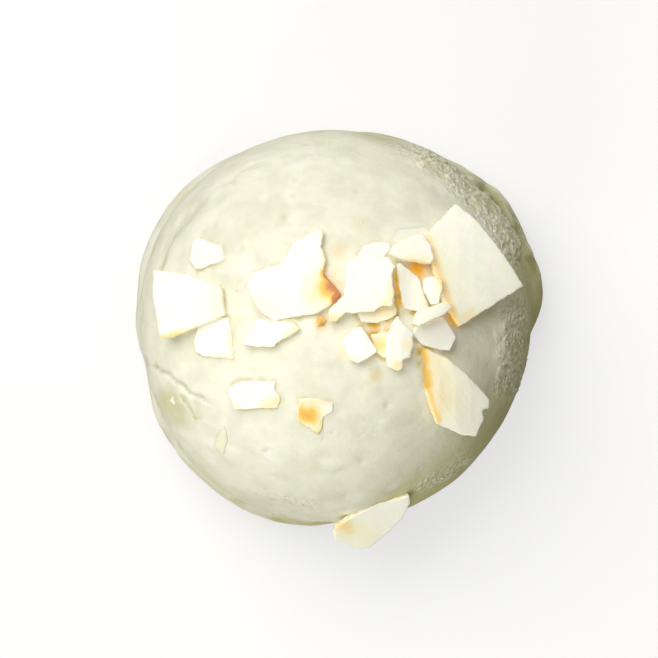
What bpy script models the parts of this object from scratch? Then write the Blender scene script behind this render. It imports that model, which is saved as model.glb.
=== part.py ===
"""A scoop of coconut ice cream with toasted coconut chips on top.

Run with: blender --background --python part.py
Metres, +Z up. The scoop stands on its flat foot at z = 0, with the origin at the foot's centre.

The ice cream is one solid. Each coconut chip is a thin, slightly bent sheet that is laid on the dome,
lowered until it meets what lies under it, and pressed into the ice cream, which keeps its print.
"""

import math

import bmesh
import bpy
from mathutils import Matrix, Vector
from mathutils.bvhtree import BVHTree
from mathutils.geometry import delaunay_2d_cdt

MM = 0.001

# The ball of ice cream.
DOME_RADIUS = 33.6 * MM
DOME_RISE = 29.0 * MM  # from the waist, where the ball is widest, to its top
WAIST_HEIGHT = 18.0 * MM  # from the foot to the waist
DOME_SHIFT = Vector((-0.7 * MM, 0.3 * MM, 0.0))  # the ball sits a little off its foot's centre

# Broad waves that keep the ball from being exact: how many go round it, how far each winds for
# every radian of latitude, where it starts in radians, and how high it is.
SWELLS = [
    (3, 0.0, 1.1, 0.30 * MM),
    (5, 4.0, 0.0, 0.20 * MM),
]

# The skirt of ice cream that the serving spoon leaves round the foot. Each lobe has a bearing, a
# width to each side in degrees, and how far it stands out.
SKIRT_RISE = 6.0 * MM  # height of the skirt's widest ring
SKIRT_BASE = 1.0 * MM  # how far the skirt stands out between its lobes
SKIRT_SPREAD = 8.0  # how far up and down the skirt reaches, in degrees of latitude
SKIRT_LOBES = [
    (9, 8, 4.2 * MM),
    (36, 15, 5.8 * MM),
    (73, 14, 3.4 * MM),
    (122, 12, 2.4 * MM),
    (146, 12, 4.2 * MM),
    (165, 8, 2.8 * MM),
    (181, 6, 2.4 * MM),
    (206, 12, 3.0 * MM),
    (236, 18, 3.6 * MM),
    (264, 10, 1.8 * MM),
]

# The groove between the ball and its skirt.
CREASE_DEPTH = 1.3 * MM
CREASE_ABOVE = 18.0  # degrees of latitude from the skirt's widest ring up to the groove
CREASE_SPREAD = 5.0
CREASE_FULL_REACH = 3.0 * MM  # how far the skirt stands out where the groove is at its deepest

# How finely the ball is divided.
AROUND = 84
RINGS = 26
SHARP_ANGLE = 40  # degrees at which an edge is shaded sharp, such as the foot's

# The chips.
HEAP_PLACE = Vector((0.25, 0.10))  # the heap's middle, seen from above, in ball radii from the foot's centre
GAP = 0.3 * MM  # clearance between any two pieces
CHIP_THICKNESS = 1.0 * MM
CRUMB_THICKNESS = 1.2 * MM
SHEET_STEP = 2.6 * MM  # spacing of the points inside a sheet
SHEET_MARGIN = 0.8 * MM  # how far those points keep from the sheet's outline
SAME_POINT = 1e-7  # metres within which two points of a sheet are one
SHARPEST_CORNER = 0.5  # keeps a narrow corner from running far out when its outline is grown
STEEPEST = 0.97  # share of the ball's radius beyond which a chip's slope grows no further
DROP_STEP = 0.4 * MM  # spacing of the probes that lower a chip
ABOVE_ALL = DOME_RISE + WAIST_HEIGHT + 20 * MM  # a height that clears the whole scoop

# One entry for each chip, in the order in which they were dropped.
#   heap    its middle, seen from above, in millimetres from the heap's middle, or for a chip that lies apart:
#   at      its middle, seen from above, in ball radii from the foot's centre
#   edge    its outline seen from above, in millimetres from its middle, anticlockwise or clockwise
#   follow  how much of the ball's slope it takes: 1 lies flat against the ball, 0 is level
#   tip     extra slope in degrees, down towards +X and down towards +Y
#   bend    direction of its bend in degrees, and the bend's radius in millimetres (negative is dished)
#   sink    how far it is pressed into the ice cream, in millimetres
CHIPS = {
    "sunken_flake": {
        "at": (-0.10, -0.09),
        "edge": [(-4.9, 0.2), (-1.4, 2.7), (2.4, 3.0), (3.2, 0.2), (2.6, -2.2), (-3.0, -2.5)],
        "follow": 1.0, "tip": (0, 0), "bend": (0, 34), "sink": 1.0,
    },
    "sunken_pale_flake": {
        "at": (-0.343, 0.433),
        "edge": [(-3.9, 1.3), (0.0, 1.8), (3.5, 1.5), (3.5, -1.5), (-0.5, -1.8), (-3.5, -1.5)],
        "follow": 1.0, "tip": (0, 0), "bend": (0, 34), "sink": 1.0,
    },
    "sunken_seed_flake": {
        "at": (-0.573, -0.549),
        "edge": [(-0.5, 1.8), (0.7, 2.5), (1.4, -0.1), (0.7, -2.7), (-1.7, -1.5)],
        "follow": 1.0, "tip": (0, 0), "bend": (90, 30), "sink": 0.8,
    },
    "back_veil": {
        "heap": (3.12, 12.30),
        "edge": [(-3.4, -1.2), (-1.8, 0.6), (2.5, 1.2), (4.0, -0.4), (2.6, -2.2), (-1.0, -2.6)],
        "follow": 1.0, "tip": (0, 0), "bend": (20, 34), "sink": 0.9,
    },
    "wide_wing": {
        "heap": (-15.42, 4.67),
        "edge": [
            (3.6, 7.9), (4.6, 7.6), (4.3, 5.1), (5.0, 3.0), (4.6, 0.8), (7.5, -2.6), (6.2, -3.9),
            (3.7, -5.7), (-3.4, -7.0), (-5.6, -5.5), (-7.8, -1.3), (-7.1, 0.8), (-2.3, 2.4), (-0.2, 5.8),
        ],
        "follow": 0.8, "tip": (-7, 0), "bend": (35, 26), "sink": 1.1,
    },
    "low_wedge": {
        "heap": (-18.92, -4.17),
        "edge": [
            (-2.7, 2.2), (-0.8, 2.0), (3.3, 1.7), (4.4, 0.7), (2.9, -0.4), (0.7, -1.5), (0.1, -2.3),
            (-3.2, -2.2), (-5.1, -1.7), (-3.2, 0.9),
        ],
        "follow": 0.8, "tip": (0, -4), "bend": (90, 30), "sink": 0.6,
    },
    "under_slip": {
        "heap": (-1.88, -1.34),
        "edge": [(-4.0, 1.5), (2.5, 3.0), (3.0, 0.0), (-0.3, -1.4), (-2.8, -1.2)],
        "follow": 0.6, "tip": (0, 4), "bend": (0, 24), "sink": 0.7,
    },
    "under_nib": {
        "heap": (-1.28, -5.71),
        "edge": [(-1.9, 1.3), (1.0, 1.6), (1.8, -1.0), (0.3, -2.6), (-1.2, -1.4)],
        "follow": 0.9, "tip": (0, 0), "bend": (0, 24), "sink": 0.6,
    },
    "long_blade": {
        "heap": (10.65, -13.41),
        "edge": [
            (-5.8, 7.4), (-3.4, 6.0), (-1.1, 5.0), (1.9, 2.5), (5.7, -1.6), (5.6, -3.1), (4.5, -3.5),
            (4.8, -4.9), (3.4, -7.9), (1.2, -7.5), (-3.0, -5.6), (-3.9, -3.3), (-5.3, 1.3), (-5.8, 3.9),
        ],
        "follow": 0.85, "tip": (-6, 2), "bend": (-10, 16), "sink": 1.0,
    },
    "grey_slab": {
        "heap": (7.16, -4.57),
        "edge": [
            (-3.2, 1.2), (1.3, 3.0), (2.6, 1.3), (3.6, -0.3), (2.6, -2.5), (0.6, -2.3), (-1.8, -1.5), (-3.5, 0.0),
        ],
        "follow": 1.0, "tip": (0, 0), "bend": (60, 30), "sink": 0.9,
    },
    "corner_shard": {
        "heap": (13.68, 6.72),
        "edge": [
            (-2.9, 10.3), (0.4, 7.7), (3.2, 4.4), (5.9, 0.8), (8.3, -3.2), (3.2, -6.4), (-2.4, -9.9),
            (-4.8, -6.3), (-6.6, -0.7), (-7.6, 5.3),
        ],
        "follow": 0.62, "tip": (0, 0), "bend": (-40, 38), "sink": 1.8,
    },
    "back_sliver": {
        "heap": (-2.39, 8.67),
        "edge": [
            (-2.8, -0.3), (-2.0, 1.1), (-0.3, 1.8), (2.2, 1.7), (2.5, 0.7), (1.7, -0.1), (0.5, -2.0), (-2.4, -1.6),
        ],
        "follow": 0.9, "tip": (0, 6), "bend": (0, 18), "sink": 0.6,
    },
    "back_triangle": {
        "heap": (3.63, 9.17),
        "edge": [
            (-3.8, -0.6), (-3.6, 0.2), (-2.7, 0.9), (-1.3, 1.7), (1.6, 2.9), (3.0, 0.7), (3.5, -1.6),
            (3.0, -2.1), (-0.7, -1.6), (-2.3, -1.4),
        ],
        "follow": 0.8, "tip": (0, 4), "bend": (30, 24), "sink": 0.4,
    },
    "crown_shard": {
        "heap": (-3.39, 3.66),
        "edge": [
            (-4.0, 3.6), (-1.8, 4.4), (1.0, 3.9), (2.7, 4.6), (4.2, 3.1), (3.7, 1.6), (4.0, -1.4), (3.8, -3.4),
            (2.0, -3.5), (0.7, -4.4), (-3.0, -4.6), (-3.9, -4.5), (-5.4, -6.0), (-6.6, -5.8), (-6.4, -4.0),
            (-4.1, -1.7), (-3.9, 0.6),
        ],
        "follow": 0.5, "tip": (0, -5), "bend": (100, 20), "sink": 0.5,
    },
    "narrow_slip": {
        "heap": (3.63, 2.65),
        "edge": [
            (-2.0, 4.6), (-0.5, 3.3), (1.0, 2.1), (1.5, 0.3), (2.7, -2.7), (1.7, -3.9), (0.5, -3.4),
            (-1.2, -3.0), (-1.8, -1.4), (-2.2, 1.9), (-2.5, 4.3),
        ],
        "follow": 0.7, "tip": (8, 0), "bend": (10, 14), "sink": 0.5,
    },
    "small_tab": {
        "heap": (7.16, 2.65),
        "edge": [(-1.7, 1.9), (-0.5, 2.4), (1.5, 1.8), (1.5, 0.3), (0.8, -2.1), (-0.4, -2.2), (-1.7, -0.1)],
        "follow": 0.4, "tip": (-6, 0), "bend": (90, 16), "sink": 0.4,
    },
    "boat_chip": {
        "heap": (6.65, -1.14),
        "edge": [
            (-3.2, -1.5), (-2.5, 0.1), (-0.5, 1.1), (1.3, 1.6), (2.6, 2.1), (3.6, 1.3), (2.0, -0.1),
            (-0.5, -1.2), (-2.0, -1.9),
        ],
        "follow": 0.7, "tip": (0, -4), "bend": (25, 16), "sink": 0.4,
    },
    "bright_square": {
        "heap": (-5.07, -6.18),
        "edge": [
            (-2.9, 0.9), (-0.9, 2.4), (0.4, 3.0), (1.7, 1.1), (3.0, -1.0), (1.1, -2.4), (-0.1, -2.9),
            (-1.4, -2.4), (-2.2, -0.9),
        ],
        "follow": 0.5, "tip": (-3, 4), "bend": (30, 24), "sink": 0.5,
    },
    "leaf_chip": {
        "heap": (1.44, -5.68),
        "edge": [
            (-0.2, 4.2), (1.0, 2.6), (2.3, 1.8), (2.0, 0.8), (2.3, -0.5), (1.7, -2.4), (0.5, -2.9),
            (0.5, -4.2), (-0.3, -4.7), (-2.0, -3.7), (-2.3, -1.5), (-2.1, 0.8), (-1.1, 3.1),
        ],
        "follow": 0.8, "tip": (0, -4), "bend": (0, 10), "sink": 0.5,
    },
    "tucked_square": {
        "at": (-0.597, -0.045),
        "edge": [(-3.4, -0.4), (-3.2, -2.5), (-1.9, -3.1), (3.3, -3.7), (2.9, 0.6), (2.3, 3.3), (-2.5, 3.0)],
        "follow": 0.9, "tip": (0, 0), "bend": (0, 34), "sink": 0.8,
    },
    "left_shard": {
        "at": (-0.746, 0.134),
        "edge": [
            (-5.2, 5.1), (0.6, 4.3), (6.0, 2.3), (6.7, -2.4), (2.5, -4.1), (-1.8, -6.0), (-4.1, -6.2), (-5.3, 0.7),
        ],
        "follow": 0.72, "tip": (0, 0), "bend": (10, 30), "sink": 1.5,
    },
    "small_fan": {
        "at": (-0.639, 0.358),
        "edge": [(-2.4, 2.2), (-1.2, 2.7), (2.5, 1.3), (3.0, -0.9), (1.2, -1.7), (-1.9, -2.6), (-2.9, -0.9)],
        "follow": 0.8, "tip": (0, 0), "bend": (0, 30), "sink": 0.7,
    },
    "low_block": {
        "at": (-0.403, -0.322),
        "edge": [
            (-4.4, 1.0), (-4.0, -0.4), (-3.3, -2.5), (3.7, -2.2), (4.2, -0.6), (3.3, 0.8), (3.5, 2.2), (-2.3, 2.2),
        ],
        "follow": 0.8, "tip": (0, 0), "bend": (0, 26), "sink": 0.7,
    },
    "toasted_nib": {
        "at": (-0.107, -0.412),
        "edge": [
            (-2.7, 2.4), (0.3, 2.6), (2.9, 1.7), (2.7, 0.3), (1.3, -0.6), (1.0, -2.5), (0.3, -3.4),
            (-0.8, -2.5), (-2.9, -1.3),
        ],
        "follow": 0.9, "tip": (0, 0), "bend": (45, 20), "sink": 0.8,
    },
    "rim_blade": {
        "at": (0.179, -0.955),
        "edge": [
            (-6.7, -1.3), (-4.0, 0.6), (0.6, 3.0), (5.8, 4.3), (6.0, 3.1), (5.0, 0.6), (2.8, -1.8),
            (-0.6, -4.8), (-2.6, -5.1), (-6.7, -3.3),
        ],
        "follow": 0.62, "tip": (0, 0), "bend": (-70, 26), "sink": 1.6,
    },
}

# Small broken bits, placed as the chips are, with a size in millimetres and a turn in degrees.
CRUMBS = {
    "gold_crumb": {"heap": (-11.2, -2.3), "size": 1.7, "turn": 20},
    "heap_crumb": {"heap": (-2.69, -10.58), "size": 1.3, "turn": 70},
    "upper_crumb": {"at": (0.104, 0.500), "size": 1.8, "turn": 40},
    "back_crumb": {"at": (0.406, 0.800), "size": 1.5, "turn": 10},
    "side_crumb": {"at": (-0.800, -0.352), "size": 1.5, "turn": 55},
    "low_crumb": {"at": (0.240, -0.470), "size": 1.4, "turn": 15},
    "left_crumb": {"heap": (-24.53, 3.02), "size": 1.4, "turn": 80},
}
CRUMB_EDGE = [(-0.5, -0.3), (0.1, -0.5), (0.5, -0.1), (0.3, 0.45), (-0.35, 0.4)]  # in crumb sizes
CRUMB_FORM = {"follow": 0.9, "tip": (0, 0), "bend": (0, 20), "sink": 0.6}

COLOURS = {  # base colour, roughness
    "ice_cream": ((0.85, 0.84, 0.70, 1.0), 0.55),
    "coconut_chip": ((0.95, 0.92, 0.80, 1.0), 0.45),
    "toasted_crumb": ((0.86, 0.62, 0.30, 1.0), 0.5),
}


def make_material(name):
    colour, roughness = COLOURS[name]
    material = bpy.data.materials.new(name)
    material.use_nodes = True
    shader = material.node_tree.nodes["Principled BSDF"]
    shader.inputs["Base Color"].default_value = colour
    shader.inputs["Roughness"].default_value = roughness
    shader.inputs["Metallic"].default_value = 0.0
    return material


def add_object(name, points, faces, material=None):
    """A mesh object whose origin is at its middle, so that it can be moved as a piece."""
    middle = sum(points, Vector()) / len(points)
    mesh = bpy.data.meshes.new(name)
    mesh.from_pydata([p - middle for p in points], [], faces)
    bm = bmesh.new()
    bm.from_mesh(mesh)
    bmesh.ops.recalc_face_normals(bm, faces=bm.faces)
    bm.to_mesh(mesh)
    bm.free()
    obj = bpy.data.objects.new(name, mesh)
    obj.location = middle
    bpy.context.scene.collection.objects.link(obj)
    if material:
        mesh.materials.append(material)
    return obj


def skirt_reach(bearing):
    """How far the skirt stands out from the ball at a bearing in degrees."""
    reach = SKIRT_BASE
    for lobe_bearing, spread, lobe_reach in SKIRT_LOBES:
        away = (bearing - lobe_bearing + 180) % 360 - 180
        reach += lobe_reach * math.exp(-0.5 * (away / spread) ** 2)
    return reach


def bell(value, middle, width):
    return math.exp(-0.5 * ((value - middle) / width) ** 2)


def ball_point(latitude, bearing):
    """A point of the ball's surface. Latitude is 90 degrees at the top and 0 at the waist."""
    t, a = math.radians(latitude), math.radians(bearing)
    height = WAIST_HEIGHT + DOME_RISE * math.sin(t)
    swell = sum(size * math.sin(count * a + winding * t + start) for count, winding, start, size in SWELLS)
    radius = (DOME_RADIUS + swell) * math.cos(t)
    skirt_latitude = math.degrees(math.asin((SKIRT_RISE - WAIST_HEIGHT) / DOME_RISE))
    reach = skirt_reach(bearing)
    radius += reach * bell(latitude, skirt_latitude, SKIRT_SPREAD)
    depth = CREASE_DEPTH * min(reach / CREASE_FULL_REACH, 1)
    radius -= depth * bell(latitude, skirt_latitude + CREASE_ABOVE, CREASE_SPREAD)
    shift = DOME_SHIFT * max(0.0, min(1.0, height / WAIST_HEIGHT))
    return Vector((radius * math.cos(a), radius * math.sin(a), height)) + shift


def make_ball(material):
    """The ice cream: rings from the top to the foot, closed by one flat foot face."""
    foot_latitude = -math.degrees(math.asin(WAIST_HEIGHT / DOME_RISE))
    latitudes = [90 + (foot_latitude - 90) * (i + 1) / RINGS for i in range(RINGS)]
    points = [ball_point(90, 0)]
    for latitude in latitudes:
        points += [ball_point(latitude, 360 * k / AROUND) for k in range(AROUND)]
    for p in points[-AROUND:]:
        p.z = 0.0
    faces = [(0, 1 + k, 1 + (k + 1) % AROUND) for k in range(AROUND)]
    for ring in range(RINGS - 1):
        upper, lower = 1 + ring * AROUND, 1 + (ring + 1) * AROUND
        for k in range(AROUND):
            after = (k + 1) % AROUND
            faces.append((upper + k, lower + k, lower + after, upper + after))
    faces.append(tuple(range(len(points) - AROUND, len(points))))
    ball = add_object("ice_cream_scoop", points, faces, material)
    ball.data.shade_smooth()
    ball.data.set_sharp_from_angle(angle=math.radians(SHARP_ANGLE))
    return ball


def chip_place(form):
    """A chip's middle, seen from above. The heap keeps its own spacing when the ball changes size."""
    if "heap" in form:
        return HEAP_PLACE * DOME_RADIUS + Vector(form["heap"]) * MM
    return Vector(form["at"]) * DOME_RADIUS


def dome_slope(place):
    """Tilt of the dome in radians, and the way down, at a place seen from above."""
    away = place - DOME_SHIFT.to_2d()
    reach = min(away.length / DOME_RADIUS, STEEPEST)
    steepness = DOME_RISE / DOME_RADIUS * reach / math.sqrt(1 - reach * reach)
    return math.atan(steepness), away.normalized()


def grow_outline(edge, by):
    """The outline moved outwards by a distance, each corner along its bisector."""
    area = sum(a.cross(b) for a, b in zip(edge, edge[1:] + edge[:1]))
    side = 1 if area > 0 else -1
    grown = []
    for before, here, after in zip(edge[-1:] + edge[:-1], edge, edge[1:] + edge[:1]):
        d1, d2 = (here - before).normalized(), (after - here).normalized()
        n1, n2 = Vector((d1.y, -d1.x)) * side, Vector((d2.y, -d2.x)) * side
        bisector = (n1 + n2).normalized()
        grown.append(here + bisector * by / max(bisector.dot(n1), SHARPEST_CORNER))
    return grown


def inside(point, edge):
    crossed = False
    for a, b in zip(edge, edge[1:] + edge[:1]):
        if (a.y > point.y) != (b.y > point.y):
            if point.x < a.x + (b.x - a.x) * (point.y - a.y) / (b.y - a.y):
                crossed = not crossed
    return crossed


def sheet_points(edge):
    """The outline's corners and a grid of points well inside it, with the triangles that join them."""
    corners = [Vector(p) for p in edge]
    inner_edge = grow_outline(corners, -SHEET_MARGIN)
    reach = max(p.length for p in corners)
    count = math.ceil(reach / SHEET_STEP)
    grid = [Vector((i, j)) * SHEET_STEP for i in range(-count, count + 1) for j in range(-count, count + 1)]
    points = corners + [p for p in grid if inside(p, inner_edge) and inside(p, corners)]
    loop = [(i, (i + 1) % len(corners)) for i in range(len(corners))]
    points, _, triangles, *_ = delaunay_2d_cdt(points, loop, [], 1, SAME_POINT)
    return points, triangles


def rim_of(triangles):
    """The edges that belong to one triangle only, in that triangle's direction."""
    sides = [(t[i], t[(i + 1) % 3]) for t in triangles for i in range(3)]
    known = set(sides)
    return [(a, b) for a, b in sides if (b, a) not in known]


class Sheet:
    """The bent, tilted middle surface of a chip, as a height over the ground plan."""

    def __init__(self, form):
        self.place = chip_place(form)
        tilt, way_down = dome_slope(self.place)
        slope = way_down * math.tan(tilt * form["follow"])
        extra = Vector([math.tan(math.radians(d)) for d in form["tip"]])
        self.slope = slope + extra
        direction, radius = form["bend"]
        self.across = Vector((math.cos(math.radians(direction)), math.sin(math.radians(direction))))
        self.curve = 1 / (radius * MM)

    def height(self, p):
        d = p.dot(self.across)
        return -self.slope.dot(p) - 0.5 * self.curve * d * d

    def normal(self, p):
        gradient = -self.slope - self.across * (self.curve * p.dot(self.across))
        return Vector((-gradient.x, -gradient.y, 1)).normalized()

    def surface(self, points, offset):
        """The points laid on the sheet, moved along its normal by offset."""
        middle = self.place.to_3d()
        return [middle + Vector((p.x, p.y, self.height(p))) + self.normal(p) * offset for p in points]


def close_shell(layers, triangles):
    """The points and faces of a closed body: the first and last layers are its ends, and the rest shape its wall."""
    count = len(layers[0])
    last = count * (len(layers) - 1)
    faces = [tuple(reversed(t)) for t in triangles] + [tuple(i + last for i in t) for t in triangles]
    for base in range(0, last, count):
        faces += [(a + base, b + base, b + base + count, a + base + count) for a, b in rim_of(triangles)]
    return sum(layers, []), faces


def without_loose(points, faces):
    """Drops the points that no face uses, and numbers the rest again."""
    used = sorted({i for face in faces for i in face})
    place = {old: new for new, old in enumerate(used)}
    return [points[i] for i in used], [tuple(place[i] for i in face) for face in faces]


def plate(form, extra):
    """A chip's plate, grown by extra on every side."""
    sheet = Sheet(form)
    points, triangles = sheet_points(grow_outline([Vector(p) * MM for p in form["edge"]], extra))
    half = form["thickness"] / 2 + extra
    return close_shell([sheet.surface(points, -half), sheet.surface(points, half)], triangles)


def print_cutter(form):
    """What a chip presses out of the ice cream: the chip with its clearance, kept open straight up."""
    sheet = Sheet(form)
    points, triangles = sheet_points(grow_outline([Vector(p) * MM for p in form["edge"]], GAP))
    half = form["thickness"] / 2 + GAP
    upper = sheet.surface(points, half)
    above = [Vector((p.x, p.y, ABOVE_ALL)) for p in upper]
    points, faces = close_shell([sheet.surface(points, -half), upper, above], triangles)
    return without_loose(points, faces)


def tree_of(points, faces):
    return BVHTree.FromPolygons(points, faces)


def resting_lift(points, faces, below):
    """How far a shape must rise so that it only just clears the trees below it. None if nothing is under it."""
    tree = tree_of(points, faces)
    low = Vector([min(p[i] for p in points) for i in range(3)])
    high = Vector([max(p[i] for p in points) for i in range(3)])
    lift = None
    for i in range(math.ceil((high.x - low.x) / DROP_STEP) + 1):
        for j in range(math.ceil((high.y - low.y) / DROP_STEP) + 1):
            x, y = low.x + i * DROP_STEP, low.y + j * DROP_STEP
            underside = tree.ray_cast(Vector((x, y, low.z - MM)), Vector((0, 0, 1)))[0]
            if underside is None:
                continue
            for other in below:
                top = other.ray_cast(Vector((x, y, ABOVE_ALL)), Vector((0, 0, -1)))[0]
                if top is not None:
                    needed = top.z - underside.z
                    lift = needed if lift is None else max(lift, needed)
    return lift


def lifted(points, lift):
    return [p + Vector((0, 0, lift)) for p in points]


def drop_chip(form, ball_tree, chip_trees):
    """The height at which a chip comes to rest: pressed into the ice cream, and clear of every chip so far."""
    points, faces = plate(form, 0)
    lift = resting_lift(points, faces, [ball_tree]) - form["sink"] * MM
    grown_points, grown_faces = plate(form, GAP)
    over_chips = resting_lift(grown_points, grown_faces, chip_trees)
    return lift if over_chips is None else max(lift, over_chips)


def press_into(ball, name, form, lift, ball_tree):
    """Cuts a chip's print out of the ice cream, where it reaches into it."""
    points, faces = print_cutter(form)
    points = lifted(points, lift)
    if not ball_tree.overlap(tree_of(points, faces)):
        return
    cutter = add_object(name + "_print", points, faces)
    cutter.hide_render = True
    cutter.display_type = "WIRE"
    cut = ball.modifiers.new(name, "BOOLEAN")
    cut.operation = "DIFFERENCE"
    cut.solver = "EXACT"
    cut.object = cutter


def chip_forms():
    """Each chip and crumb with its full form, in the order in which they were dropped."""
    for name, form in CHIPS.items():
        yield name, {**form, "thickness": CHIP_THICKNESS}, "coconut_chip"
    for name, crumb in CRUMBS.items():
        turn = Matrix.Rotation(math.radians(crumb["turn"]), 2)
        edge = [turn @ Vector(corner) * crumb["size"] for corner in CRUMB_EDGE]
        yield name, {**CRUMB_FORM, **crumb, "edge": edge, "thickness": CRUMB_THICKNESS}, "toasted_crumb"


def main():
    for obj in list(bpy.data.objects):
        bpy.data.objects.remove(obj)
    materials = {name: make_material(name) for name in COLOURS}
    ball = make_ball(materials["ice_cream"])
    bpy.context.view_layer.update()
    ball_points = [ball.matrix_world @ v.co for v in ball.data.vertices]
    ball_tree = tree_of(ball_points, [tuple(p.vertices) for p in ball.data.polygons])
    chip_trees = []
    for name, form, material in chip_forms():
        lift = drop_chip(form, ball_tree, chip_trees)
        points, faces = plate(form, 0)
        points = lifted(points, lift)
        add_object(name, points, faces, materials[material])
        chip_trees.append(tree_of(points, faces))
        press_into(ball, name, form, lift, ball_tree)


main()
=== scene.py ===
# Scoop of coconut ice cream under a heap of toasted coconut chips. Metres, +Z up, chips on top.
import math
from itertools import combinations
import bmesh
import bpy
import numpy as np
from mathutils import Matrix, Vector, noise
from mathutils.bvhtree import BVHTree


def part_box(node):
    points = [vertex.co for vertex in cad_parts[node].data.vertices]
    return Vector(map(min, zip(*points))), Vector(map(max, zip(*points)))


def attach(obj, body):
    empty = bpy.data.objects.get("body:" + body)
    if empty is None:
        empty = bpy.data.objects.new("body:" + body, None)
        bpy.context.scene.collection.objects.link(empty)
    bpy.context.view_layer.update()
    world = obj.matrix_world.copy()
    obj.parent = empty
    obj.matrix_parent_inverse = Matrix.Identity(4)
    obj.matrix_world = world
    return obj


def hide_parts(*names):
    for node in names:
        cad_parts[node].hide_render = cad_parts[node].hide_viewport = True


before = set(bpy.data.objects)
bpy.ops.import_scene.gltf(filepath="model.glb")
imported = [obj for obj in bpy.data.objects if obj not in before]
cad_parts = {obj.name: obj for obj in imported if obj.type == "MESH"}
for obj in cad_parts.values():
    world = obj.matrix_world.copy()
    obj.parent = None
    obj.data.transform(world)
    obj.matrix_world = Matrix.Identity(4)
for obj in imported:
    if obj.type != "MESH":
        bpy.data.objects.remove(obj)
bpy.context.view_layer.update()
mm = 0.001


def place(name, data):
    made = bpy.data.objects.new(name, data)
    bpy.context.scene.collection.objects.link(made)
    return made


def smoothFaces(mesh):
    mesh.polygons.foreach_set("use_smooth", [True] * len(mesh.polygons))
    mesh.update()


def newObject(name, points, faces, material):
    mesh = bpy.data.meshes.new(name)
    mesh.from_pydata([tuple(p) for p in points], [], faces)
    mesh.materials.append(material)
    smoothFaces(mesh)
    return place(name, mesh)


def readValues(items, label, width, kind=float):
    flat = np.empty(len(items) * width, dtype=kind)
    items.foreach_get(label, flat)
    return flat.reshape(-1, width)


def readPoints(mesh):
    return readValues(mesh.vertices, "co", 3)


def readNormals(mesh):
    return readValues(mesh.vertices, "normal", 3)


def readEdges(mesh):
    return readValues(mesh.edges, "vertices", 2, np.int64)


def writePoints(mesh, points):
    mesh.vertices.foreach_set("co", points.astype(np.float32).ravel())
    mesh.update()


def storeMasks(mesh, **masks):
    # each mask is one value for every point, or a single value for all of them
    for name, values in masks.items():
        values = np.clip(values, 0, 1) * np.ones(len(mesh.vertices))
        mesh.attributes.new(name, "FLOAT", "POINT").data.foreach_set("value", values.astype(np.float32))


def relax(values, edges, rounds, amount=0.5):
    # evens values over a mesh by moving each point towards the mean of its neighbours
    count = len(values)
    ties = np.bincount(edges.ravel(), minlength=count).astype(float)
    values = values.copy()
    columns = values.reshape(count, -1)
    for _ in range(rounds):
        for c in range(columns.shape[1]):
            column = columns[:, c]
            total = np.bincount(edges[:, 0], column[edges[:, 1]], count)
            total += np.bincount(edges[:, 1], column[edges[:, 0]], count)
            column += amount * (total / ties - column)
    return values


def noiseAt(points, size, seed=0.0):
    # soft noise from about -1 to 1, with lumps of the given size; size may differ along x, y and z
    scaled = points / np.array(size)
    offset = Vector((seed * 7.31, seed * 3.17, seed * 5.73))
    return np.array([noise.noise(Vector(p) + offset) for p in scaled])


def smooth(low, high, values):
    t = np.clip((values - low) / (high - low), 0, 1)
    return t * t * (3 - 2 * t)


def pathField(places, path):
    # distance to a path of points in mm, which side of it (+1 is left of its run), and how far along
    best = np.full(len(places), 1e9)
    side = np.ones(len(places))
    along = np.zeros(len(places))
    path = [np.array(p, dtype=float) for p in path]
    lengths = [np.linalg.norm(b - a) for a, b in zip(path, path[1:])]
    done, whole = 0.0, sum(lengths)
    for a, b, length in zip(path, path[1:], lengths):
        run = (b - a) / length
        t = np.clip((places - a) @ run, 0, length)
        away = places - (a + t[:, None] * run)
        distance = np.hypot(away[:, 0], away[:, 1])
        cross = run[0] * (places[:, 1] - a[1]) - run[1] * (places[:, 0] - a[0])
        closer = distance < best
        best = np.where(closer, distance, best)
        side = np.where(closer, np.sign(cross), side)
        along = np.where(closer, (done + t) / whole, along)
        done += length
    return best, side, along


def endFade(along, first, last, start=0.0):
    # fades out over the given shares of a path at its two ends
    return smooth(start, first, along) * smooth(start, last, 1 - along)


def bandMask(places, form, first, last):
    distance, _, along = pathField(places, form["path"])
    return endFade(along, first, last) * np.exp(-(distance / form["width"]) ** 2)


def spotMask(plan, x, y, size):
    return np.exp(-(np.hypot(plan[:, 0] - x, plan[:, 1] - y) / size) ** 2)


def inPlan(points):
    return points[:, :2] / mm


def heights(points):
    return points[:, 2] / mm


def sidewaysNoise(points, size, seed):
    return np.stack([noiseAt(points, size, seed), noiseAt(points, size, seed + 1)], axis=1)


def camelCase(name):
    first, *rest = name.split("_")
    return first + "".join(word.capitalize() for word in rest)


def newGroup(name, inputs, outputs):
    group = bpy.data.node_groups.new(name, "ShaderNodeTree")
    for label, value in inputs.items():
        kind = "NodeSocketColor" if isinstance(value, tuple) else "NodeSocketFloat"
        group.interface.new_socket(label, in_out="INPUT", socket_type=kind).default_value = value
    for label in outputs:
        kind = "NodeSocketColor" if label == "Color" else "NodeSocketFloat"
        group.interface.new_socket(label, in_out="OUTPUT", socket_type=kind)
    return group, group.nodes.new("NodeGroupInput"), group.nodes.new("NodeGroupOutput")


def feed(tree, value, socket):
    # a fixed value is set, the output of another node is linked
    if isinstance(value, (int, float, tuple)):
        socket.default_value = value
    else:
        tree.links.new(value, socket)


def addNode(tree, kind, **settings):
    node = tree.nodes.new(kind)
    for key, value in settings.items():
        if key in node.inputs:
            node.inputs[key].default_value = value
        else:
            setattr(node, key, value)
    return node


def mathNode(tree, operation, a, b=None, c=None):
    node = tree.nodes.new("ShaderNodeMath")
    node.operation = operation
    for socket, value in zip(node.inputs, (a, b, c)):
        if value is not None:
            feed(tree, value, socket)
    return node.outputs[0]


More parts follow.
